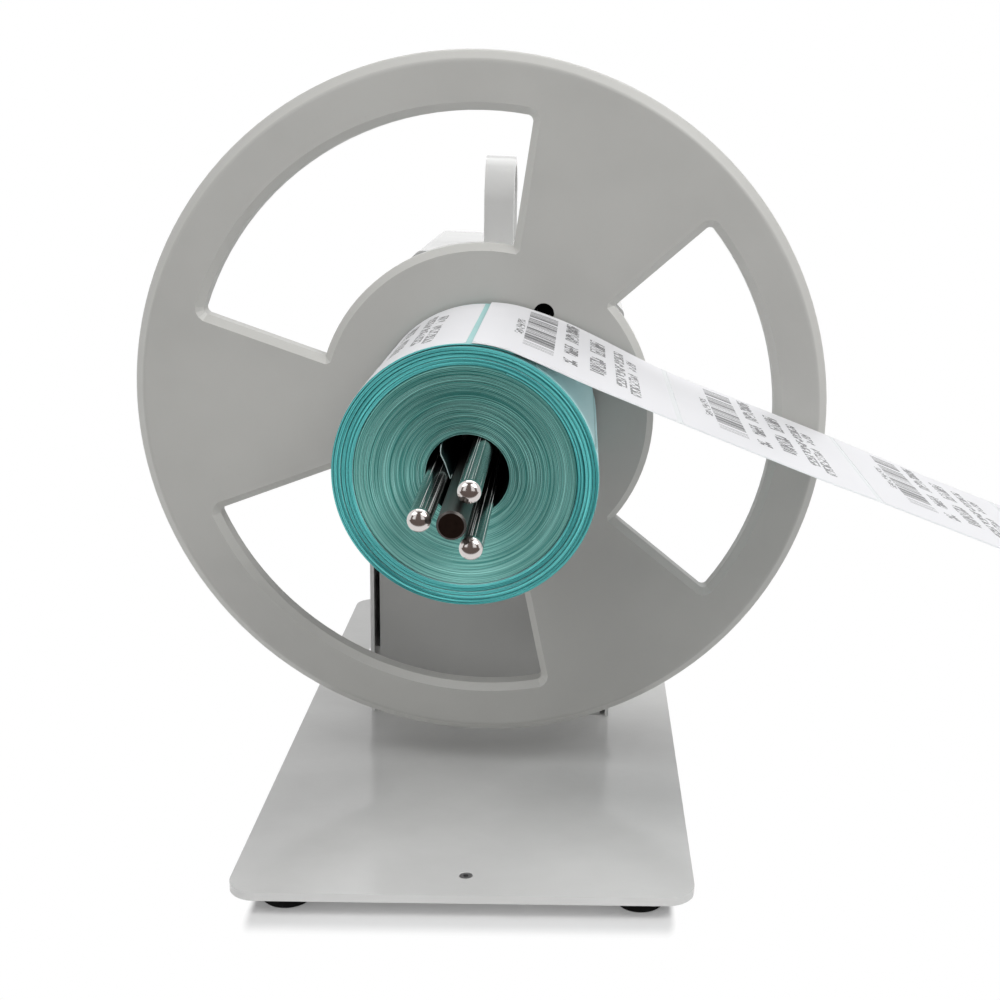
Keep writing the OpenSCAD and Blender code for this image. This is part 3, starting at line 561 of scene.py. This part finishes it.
def loose_liner(name):
    """The inner end of the liner: a pale cut edge, and painted shade, near black, where it runs back into the
    bore.
    """
    film = flat_liner(name, rgb(0.62, 0.78, 0.76))
    y = film.parts(film.place())[1]
    # Painted shade: behind its front edge the tail darkens to near black, for the shade in the bore.
    inside = (y - HUB.y).rise(*TAIL_SHADE)
    film.feed({"Base Color": film.mix(film.now("Base Color"), rgb(0.012, 0.03, 0.03), inside)})
    return film


# The core's plain sides, the bore wall among them, are near black: painted shade of the deep bore.
core_layers = wound_liner(
    "core_layers", deep=rgb(0.037, 0.265, 0.233), pale=rgb(0.350, 0.755, 0.695),
    side=rgb(0.006, 0.022, 0.020), lip=0.5)
outer_layers = wound_liner(
    "outer_layers", deep=rgb(0.006, 0.165, 0.170), pale=rgb(0.158, 0.690, 0.680),
    side=rgb(0.37, 0.65, 0.64))
# The web's liner is painted much paler than the wound liner: a painted sheen of its gloss.
web_film_sheen = flat_liner("web_film_sheen", rgb(0.79, 0.815, 0.825))
tail_film = loose_liner("tail_film")
roll_paper = label_paper("roll_paper", on_roll=True)
web_paper = label_paper("web_paper", on_roll=False)


# Mesh building


def add_mesh(name, points, faces, finish, smooth=True):
    mesh = bpy.data.meshes.new(name)
    mesh.from_pydata([tuple(p) for p in points], [], faces)
    mesh.validate()
    mesh.materials.append(finish.material)
    if smooth:
        mesh.polygons.foreach_set("use_smooth", [True] * len(mesh.polygons))
        mesh.set_sharp_from_angle(angle=math.radians(40))
    mesh.update()
    piece = bpy.data.objects.new(name, mesh)
    bpy.context.scene.collection.objects.link(piece)
    return piece


def grid_faces(rows, columns, start=0, wrap_rows=False, wrap_columns=False):
    """Quads over a grid of points that are numbered row by row."""
    faces = []
    for i in range(rows if wrap_rows else rows - 1):
        for j in range(columns if wrap_columns else columns - 1):
            k = (i + 1) % rows
            m = (j + 1) % columns
            faces.append((start + i * columns + j, start + i * columns + m,
                          start + k * columns + m, start + k * columns + j))
    return faces


def border_faces(rows, columns, below, above):
    """Quads that join the borders of two like grids of points."""
    border = list(range(columns))
    border += [i * columns + columns - 1 for i in range(1, rows)]
    border += [(rows - 1) * columns + j for j in range(columns - 2, -1, -1)]
    border += [i * columns for i in range(rows - 2, 0, -1)]
    pairs = zip(border, border[1:] + border[:1])
    return [(below + b, below + a, above + a, above + b) for a, b in pairs]


def spindle_point(radius, angle, y):
    """Point from millimetres about the spindle axis; y runs from the disc's front face to the back."""
    return HUB + MM * Vector((radius * math.cos(angle), y, radius * math.sin(angle)))


def wave(angle, seed, terms=4):
    """Smooth closed waviness about the axis, within about -1 to 1."""
    draw = np.random.default_rng(seed)
    total = 0.0
    for k in range(1, terms + 1):
        total += draw.uniform(-1, 1) / k * math.sin(k * angle + draw.uniform(0, 6.28))
    return total / 1.6


def lathe(name, profile, axis, finish, around=48):
    """Solid of revolution about an axis along the spindle, from points (radius, y) in metres."""
    points = []
    for radius, y in profile:
        for j in range(around):
            turn = 2 * math.pi * j / around
            points.append((axis.x + radius * math.cos(turn), y, axis.z + radius * math.sin(turn)))
    faces = grid_faces(len(profile), around, wrap_columns=True)
    faces.append(tuple(reversed(range(around))))
    faces.append(tuple(range((len(profile) - 1) * around, len(profile) * around)))
    return add_mesh(name, points, faces, finish)


def core_rod(node):
    """A rod with a smooth dome, a shoulder on the disc and a screwed end in the hub."""
    low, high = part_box(node)
    axis = (low + high) / 2
    radius = (high.x - low.x) / 2
    dome = 0.75 * radius
    steps = 24
    profile = []
    for k in range(1, steps + 1):
        turn = math.radians(90 * k / steps)
        profile.append((radius * math.sin(turn), low.y + dome - dome * math.cos(turn)))
    profile += [(radius, HUB.y), (STUD_R * MM, HUB.y), (STUD_R * MM, high.y)]
    return lathe(node + "_smooth", profile, axis, rod_steel)


def inner_radius(angle):
    """Inner side of the innermost turn of the wound strip at an angle."""
    turn = TURNS - 1 + ((angle - LIFT) / (2 * math.pi)) % 1.0
    return turn_radius(turn) - turn_thickness(turn)


def roll_core():
    """The wound body: a dished front end of proud and sunk layers, bore, rim and back."""
    draw = np.random.default_rng(11)
    around = 192
    rim_zone = 1.6
    clearance = 0.06
    out_of_round = 0.02
    out_of_line = 0.10
    last_room = 0.34
    rows = [(BORE_R, 0.0, 0), (BORE_R, CORE_FRONT + 10.0, 0), (BORE_R, CORE_FRONT + DISH + 0.3, 0)]
    radius = BORE_R
    while radius < CORE_R - last_room:
        step = draw.uniform(0.28, 0.52)
        proud = draw.uniform(0.0, 0.10) + (0.35 if radius < BORE_R + 2.0 else 0.0)
        seed = int(draw.integers(1, 9999))
        face = CORE_FRONT + DISH * (CORE_R - radius) / (CORE_R - BORE_R)
        fall = LAYER_SLOPE * step
        rows.append((radius + 0.02, face + 0.05, seed))
        rows.append((radius + 0.06, face - proud, seed))
        rows.append((radius + step - 0.02, face - proud - fall, seed))
        radius += step
    rows += [(CORE_R, CORE_FRONT + 0.2, 0), (CORE_R, CORE_FRONT + 2.0, 0)]
    rows += [(CORE_R, CORE_FRONT / 2, 0), (CORE_R, 0.0, 0)]
    points = []
    for r, y, seed in rows:
        near_rim = max(0.0, 1.0 - (CORE_R - r) / rim_zone)
        for j in range(around):
            angle = 2 * math.pi * j / around
            shift = wave(angle, seed) if seed else 0.0
            grown = near_rim * (inner_radius(angle) - clearance - CORE_R)
            reach = r + out_of_round * shift + grown
            points.append(spindle_point(reach, angle, y + out_of_line * shift))
    faces = grid_faces(len(rows), around, wrap_rows=True, wrap_columns=True)
    return add_mesh("roll_core", points, faces, core_layers)


def turn_radius(turn):
    """Outer radius of the wound strip at a number of turns back from the web."""
    return ROLL_R - float(np.interp(turn, range(len(TURN_DEPTHS)), TURN_DEPTHS))


def turn_thickness(turn):
    """Thickness of the wound strip: it fills its turn but for a gap, and thins out at both ends."""
    full = turn_radius(turn) - turn_radius(turn + 1) - TURN_GAP
    at_end = 0.3
    growth = 4.0
    return full * min(1.0, at_end + growth * min(turn, TURNS - turn))


def wound_turns():
    """The outer turns: one strip that winds in from the web's start, each turn a little out of line."""
    around = 120
    count = around * TURNS + 1
    corners = 6
    per_turn = 3
    sway = 0.45
    draw = np.random.default_rng(5)
    knots = draw.uniform(-sway, sway, per_turn * TURNS + 3)
    points = []
    for i in range(count):
        turn = i / around
        k = int(per_turn * turn)
        blend = per_turn * turn - k
        blend = blend * blend * (3 - 2 * blend)
        shift = knots[k] * (1 - blend) + knots[k + 1] * blend
        front = FRONT_Y + shift
        back = front + STRIP_W
        r = turn_radius(turn)
        thick = turn_thickness(turn)
        angle = LIFT + 2 * math.pi * turn
        edge = 0.2 * thick
        ring = ((r, back), (r, front + edge), (r - edge, front), (r - thick + edge, front),
                (r - thick, front + edge), (r - thick, back))
        points += [spindle_point(radius, angle, y) for radius, y in ring]
    faces = grid_faces(count, corners, wrap_columns=True)
    faces.append(tuple(reversed(range(corners))))
    faces.append(tuple(range((count - 1) * corners, count * corners)))
    return add_mesh("wound_turns", points, faces, outer_layers)


def edge_height(knots, along):
    """Smooth height of a web edge between its knots."""
    places, heights = zip(*knots)
    reach = 7.0
    near = np.linspace(along - reach, along + reach, 9)
    return float(np.mean(np.interp(near, places, heights)))


def web_height(along, across):
    """How far the web stands off its straight line; across runs from its back edge to its front edge."""
    back = edge_height(BACK_EDGE, along)
    front = edge_height(FRONT_EDGE, along)
    return back * (1.0 - across) + front * across


def strip_point(along, across, height, on_web):
    """A point of the label strip. Behind its leaving point the strip lies on the roll."""
    along = float(along)
    y = FRONT_Y + STRIP_W * (1.0 - across)
    if along < 0.0:
        angle = LIFT - along / ROLL_R
        base = turn_radius((angle - LIFT) / (2 * math.pi))
        if on_web:
            base = WEB_SEAT + max(0.0, web_height(along, across))
        return spindle_point(base + height, angle, y)
    out = WEB_SEAT + height + web_height(along, across)
    start = spindle_point(out, LIFT, y)
    return start + MM * along * Vector((math.sin(LIFT), 0.0, -math.cos(LIFT)))


def strip_rows(low, high, corner):
    """Stations along a label and how far its sides draw in there, for rounded corners."""
    near = (0.0, 0.12, 0.35, 0.7, 1.2, corner)
    spacing = 3.0
    count = max(3, int((high - low) / spacing))
    stations = [low + d for d in near]
    stations += list(np.linspace(low + corner, high - corner, count)[1:-1])
    stations += [high - d for d in reversed(near)]
    rows = []
    for s in stations:
        d = min(s - low, high - s)
        inset = 0.0
        if d < corner:
            inset = corner - math.sqrt(max(0.0, corner ** 2 - (corner - d) ** 2))
        rows.append((s, inset))
    return rows


def plate(rows, low_height, high_height, margin, on_web, points, faces, across_count=14):
    """A thin closed plate on the strip from rows of (place along it, inset of its sides)."""
    start = len(points)
    for height in (low_height, high_height):
        for along, inset in rows:
            side = (margin + inset) / STRIP_W
            for j in range(across_count):
                share = side + (1 - 2 * side) * j / (across_count - 1)
                points.append(strip_point(along, share, height, on_web))
    count = len(rows) * across_count
    below = grid_faces(len(rows), across_count, start)
    faces += [tuple(reversed(face)) for face in below]
    faces += grid_faces(len(rows), across_count, start + count)
    faces += border_faces(len(rows), across_count, start, start + count)


def labels(name, spans, base_height, on_web, finish):
    """Die-cut labels with rounded corners, one plate for each span of the strip."""
    points = []
    faces = []
    for low, high in spans:
        rows = strip_rows(low, high, LABEL_CORNER)
        plate(rows, base_height, base_height + LABEL_T, MARGIN, on_web, points, faces)
    return add_mesh(name, points, faces, finish)


def gap_edges(first, last):
    """Spans of the labels between two places along the strip."""
    spans = []
    number = math.floor((first - FIRST_GAP) / PITCH)
    while True:
        low = FIRST_GAP + number * PITCH + GAP / 2
        high = low + PITCH - GAP
        if low >= last - SHORTEST_LABEL:
            return spans
        if high > first + SHORTEST_LABEL:
            spans.append((max(low, first), min(high, last)))
        number += 1


def web_liner():
    """The liner that carries the labels off the roll, from the last label there, and its flat length."""
    start = FIRST_GAP + GAP / 2
    stations = list(np.linspace(start, 0.0, 8)) + list(np.linspace(0.0, WEB_END, 70)[1:])
    rows = [(s, 0.0) for s in stations]
    points = []
    faces = []
    plate(rows, 0.0, LINER_T, 0.0, True, points, faces, across_count=20)
    return add_mesh("web_liner", points, faces, web_film_sheen), (WEB_END - start) * MM


def roll_tail():
    """The loose inner end of the liner, standing off the bore between two rods."""
    thick = 0.18
    depths = (-99.8, -99.0, -80.0, -60.0)
    knots = [Vector((x, 0.0, z)) for x, z in TAIL]
    between = 4
    path = [a.lerp(b, k / between) for a, b in zip(knots, knots[1:]) for k in range(between)]
    path.append(knots[-1])
    points = []
    for side in (0.0, thick):
        for i, knot in enumerate(path):
            ahead = path[min(i + 1, len(path) - 1)] - path[max(i - 1, 0)]
            beside = Vector((-ahead.z, 0.0, ahead.x)).normalized() * side
            points += [HUB + MM * (knot + beside + Vector((0.0, y, 0.0))) for y in depths]
    rows = len(path)
    columns = len(depths)
    faces = [tuple(reversed(face)) for face in grid_faces(rows, columns)]
    faces += grid_faces(rows, columns, rows * columns)
    faces += border_faces(rows, columns, 0, rows * columns)
    return add_mesh("roll_tail", points, faces, tail_film)


def dress_solids():
    """Each CAD solid gets its own finish or that of its slot."""
    for row in frame["record"]["subparts"]:
        finish = FINISH_OF_NODE.get(row["node"]) or FINISH_OF_SLOT.get(row["material_slot"])
        if finish is not None:
            solid = NODES[row["node"]]
            solid.data.materials.clear()
            solid.data.materials.append(finish.material)


dress_solids()

for number in (1, 2, 3):
    rod_node = f"core_rod_{number}"
    rod = core_rod(rod_node)
    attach(rod, "spindle")
    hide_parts(rod_node)

core = roll_core()
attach(core, "spindle")
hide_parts("label_roll")

turns = wound_turns()
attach(turns, "spindle")
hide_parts("outer_turns")

roll_labels = labels("roll_labels", gap_edges(ROLL_END, FIRST_GAP), 0.0, False, roll_paper)
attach(roll_labels, "spindle")

tail = roll_tail()
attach(tail, "spindle")

liner, liner_length = web_liner()
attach(liner, "base")
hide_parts("label_web")

web_labels = labels("web_labels", gap_edges(FIRST_GAP, WEB_END), LINER_T, True, web_paper)
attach(web_labels, "base")


# Floor, light and camera


def studio_floor():
    """A pale floor that keeps the shadow under the plate and runs out to white."""
    size = 6.0
    points = [(-size, -size, 0.0), (size, -size, 0.0), (size, size, 0.0), (-size, size, 0.0)]
    looks = {"Base Color": rgb(0.78, 0.78, 0.78), "Roughness": 0.9, "Specular IOR Level": 0.1}
    pale = Finish("pale_floor", looks)
    side_inset = 0.010
    side_pull = 3.0
    least_white = 0.15
    x, y = pale.parts(pale.place())[:2]
    low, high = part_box("base_plate")
    middle = (low + high) / 2
    half = (high - low) / 2
    dx = (abs(x - middle.x) - half.x + side_inset).most(0.0) * side_pull
    dy = (abs(y - middle.y) - half.y).most(0.0)
    away = (dx * dx + dy * dy).root().rise(0.003, 0.012)
    white = pale.node("ShaderNodeEmission", None, {"Color": rgb(1, 1, 1), "Strength": 1.0})
    lit = Value(pale, pale.shader.outputs[0])
    share = pale.seen() * (least_white + (1.0 - least_white) * away)
    pale.show(pale.node("ShaderNodeMixShader", None, {0: share, 1: lit, 2: white}))
    floor = add_mesh("floor", points, [(0, 1, 2, 3)], pale, False)


def studio_world():
    """White where it is seen or mirrored, a softer grey as light."""
    world = bpy.data.worlds.new("studio")
    world.use_nodes = True
    bpy.context.scene.world = world
    sky = Graph(world.node_tree)
    light = sky.mix(rgb(0.15, 0.15, 0.152), rgb(1.0, 1.0, 1.0), sky.seen())
    sky.fill(sky.tree.nodes["Background"], {"Color": light})


def soft_box(name, place, aim, size, watts):
    """A large soft lamp that points at a spot."""
    data = bpy.data.lights.new(name, "AREA")
    data.shape = "RECTANGLE"
    data.size, data.size_y = size
    data.energy = watts
    lamp = bpy.data.objects.new(name, data)
    lamp.location = place
    lamp.rotation_mode = "QUATERNION"
    lamp.rotation_quaternion = (Vector(aim) - Vector(place)).to_track_quat("-Z", "Y")
    bpy.context.scene.collection.objects.link(lamp)


def front_card():
    """A dim room in front with two tall windows, which only glossy things mirror."""
    card = Finish("front_card", {})
    x, y, z = card.parts(card.place())
    left = (0.0 - x).band(0.36, 0.48, 0.8, 1.1)
    right = x.band(0.14, 0.26, 0.6, 0.9)
    panes = left.most(right) * z.band(0.22, 0.32, 2.0, 2.2)
    near_edge = y.rise(-0.36, -0.28) * (1.0 - z.rise(0.1, 0.2))
    rim = abs(x).rise(1.8, 2.2).most(near_edge)
    light = card.mix(rgb(0.15, 0.12, 0.11), rgb(1.0, 1.0, 1.0), panes.most(rim))
    card.show(card.node("ShaderNodeEmission", None, {"Color": light}))
    wide = 2.2
    profile = ((-0.26, 0.004), (-0.75, 0.004), (-0.95, 0.2), (-0.95, 2.2), (-0.3, 2.6))
    points = [(side, y, z) for y, z in profile for side in (-wide, wide)]
    flag = add_mesh("front_card", points, grid_faces(len(profile), 2), card, False)
    flag.visible_camera = False
    flag.visible_diffuse = False
    flag.visible_transmission = False
    flag.visible_shadow = False


def camera():
    """Camera of the photograph: focal length and axis point in pixels of a 1000 px frame."""
    frame_px = 1000.0
    focal = 1474.34
    axis_x, axis_y = 684.0, 592.0
    yaw, pitch, roll = 0.08299, 0.30475, -0.05487
    place = HUB + MM * Vector((30.855, -533.219, 102.973))
    ahead = Vector((math.sin(yaw) * math.cos(pitch), math.cos(yaw) * math.cos(pitch), -math.sin(pitch)))
    right = Vector((math.cos(yaw), -math.sin(yaw), 0.0))
    down = ahead.cross(right)
    across = math.cos(roll) * right + math.sin(roll) * down
    below = -math.sin(roll) * right + math.cos(roll) * down
    data = bpy.data.cameras.new("camera")
    data.sensor_fit = "HORIZONTAL"
    data.sensor_width = 36.0
    data.lens = focal * data.sensor_width / frame_px
    data.shift_x = (frame_px / 2 - axis_x) / frame_px
    data.shift_y = (axis_y - frame_px / 2) / frame_px
    data.clip_start = 0.01
    data.clip_end = 50.0
    eye = bpy.data.objects.new("camera", data)
    turn = Matrix((across, -below, -ahead)).transposed()
    eye.matrix_world = Matrix.Translation(place) @ turn.to_4x4()
    bpy.context.scene.collection.objects.link(eye)
    bpy.context.scene.camera = eye


studio_floor()
studio_world()
soft_box("top_right", place=(0.9, -0.6, 1.3), aim=(0.0, 0.0, 0.1), size=(0.9, 0.9), watts=14.8)
soft_box("top_left", place=(-0.9, -0.6, 1.3), aim=(0.0, 0.0, 0.1), size=(0.9, 0.9), watts=4.6)
soft_box("front_left", place=(-0.9, -1.5, 0.9), aim=(0.0, 0.0, 0.15), size=(1.2, 1.2), watts=8.0)
soft_box("low_front", place=(0.1, -1.7, 0.5), aim=(0.0, 0.0, 0.1), size=(1.6, 0.8), watts=2.2)
soft_box("back_top", place=(0.1, 0.9, 1.5), aim=(0.0, 0.0, 0.05), size=(1.4, 1.0), watts=8.5)
front_card()
camera()

bpy.context.scene.view_settings.view_transform = "Standard"
